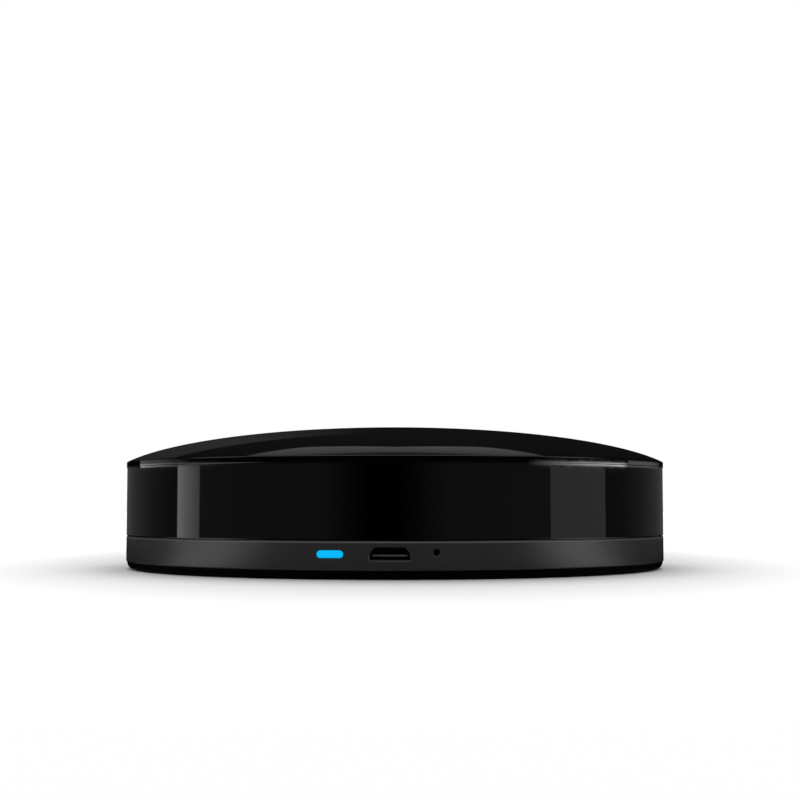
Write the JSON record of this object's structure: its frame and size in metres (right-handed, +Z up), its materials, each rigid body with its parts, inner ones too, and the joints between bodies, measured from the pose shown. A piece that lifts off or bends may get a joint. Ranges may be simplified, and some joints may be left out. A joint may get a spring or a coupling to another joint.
{
  "type": "smart infrared blaster",
  "caption": "Low round puck with a glossy domed cover, a dark infrared window band and a satin base with a status light, a power socket and a reset pinhole.",
  "frame": {"origin": "centre of the circle that the foot ring rests on", "axes": "+Z up through the top of the dome; the light, the power socket and the pinhole face -Y"},
  "size_m": [0.11, 0.11, 0.0286],
  "materials": {
    "gloss_cover": "piano black, high gloss",
    "ir_window": "infrared-pass black, high gloss",
    "satin_base": "satin dark grey, fine mould texture",
    "foot_rubber": "matt",
    "board_laminate": "solder mask",
    "module_laminate": "black solder mask",
    "emitter_resin": "tinted clear resin",
    "dark_epoxy": "moulded epoxy",
    "tinned_steel": "tinned",
    "can_aluminium": "drawn can",
    "chip_ceramic": "sintered",
    "socket_steel": "plated",
    "socket_plastic": "moulded",
    "gilt_contact": "gilt",
    "diode_plastic": "white housing",
    "blue_light": "translucent, lit from behind",
    "switch_plastic": "moulded",
    "plunger_plastic": "moulded",
    "spring_steel": "sprung strip",
    "black_screw": "black zinc"
  },
  "bodies": {
    "root": {"top_cover": "gloss_cover", "ir_window_ring": "ir_window", "base_shell": "satin_base", "foot_ring": "foot_rubber", "main_board": "board_laminate", "ir_emitter_1": "emitter_resin", "ir_emitter_2": "emitter_resin", "ir_emitter_3": "emitter_resin", "ir_emitter_4": "emitter_resin", "ir_emitter_5": "emitter_resin", "ir_emitter_6": "emitter_resin", "ir_emitter_7": "emitter_resin", "ir_emitter_8": "emitter_resin", "ir_receiver": "dark_epoxy", "wifi_module_board": "module_laminate", "wifi_shield_can": "tinned_steel", "controller_chip": "dark_epoxy", "voltage_regulator": "dark_epoxy", "bulk_capacitor": "can_aluminium", "crystal": "tinned_steel", "driver_transistors": "dark_epoxy", "led_resistors": "dark_epoxy", "bypass_capacitors": "chip_ceramic", "usb_socket_shell": "socket_steel", "usb_socket_tongue": "socket_plastic", "usb_contacts": "gilt_contact", "status_led": "diode_plastic", "light_pipe": "blue_light", "reset_switch_body": "switch_plastic", "reset_switch_cover": "tinned_steel", "reset_switch_dome": "spring_steel", "case_screws": "black_screw", "board_screws": "tinned_steel"},
    "reset_plunger": {"reset_switch_plunger": "plunger_plastic"}
  },
  "joints": [
    {"name": "reset_press", "type": "slide", "parent": "root", "child": "reset_plunger", "axis": [0, 1, 0], "range_m": [0, 0.00025], "stiffness_N_per_m": 400, "springref_m": -0.0005}
  ]
}
